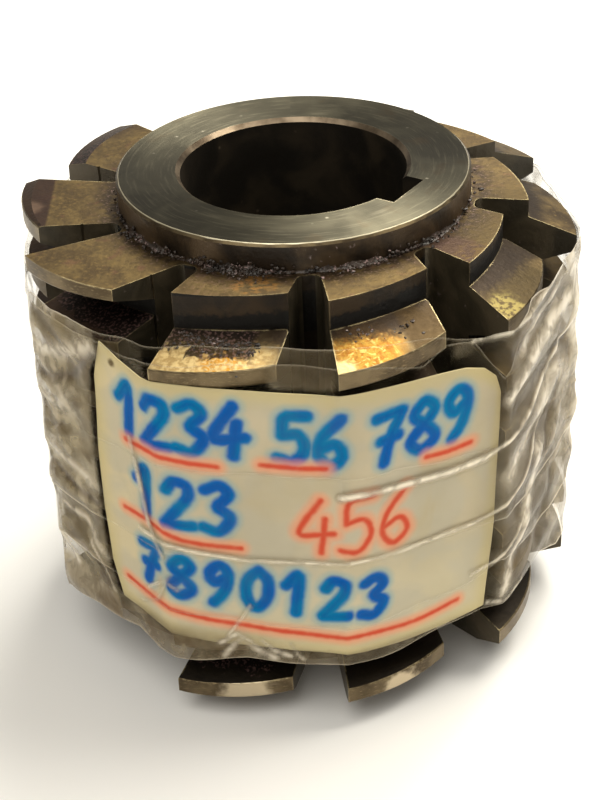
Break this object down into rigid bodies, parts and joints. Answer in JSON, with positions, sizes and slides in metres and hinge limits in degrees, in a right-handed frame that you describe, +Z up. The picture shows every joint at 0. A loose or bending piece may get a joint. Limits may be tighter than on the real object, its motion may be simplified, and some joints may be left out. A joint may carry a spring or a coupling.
{
  "type": "gear hob",
  "caption": "Cylindrical gear hob with straight gashes, form-relieved teeth on a right-hand thread, hub faces and a keyed bore, wrapped in clear tape over a paper label.",
  "frame": {"origin": "on the bore's axis, in the plane of the lower hub face", "axes": "+Z up along the bore's axis, -Y towards the middle of the paper label, +X to the right of it"},
  "size_m": [0.08, 0.0808, 0.07],
  "materials": {
    "tool_steel": "ground ends, browned flanks with old oil and grime",
    "paper": "matt paper, yellowed at the edges, with marker strokes",
    "tape": "clear film, glossy and creased"
  },
  "bodies": {
    "root": {"hob": "tool_steel", "paper_label": "paper", "clear_tape": "tape"}
  },
  "joints": []
}
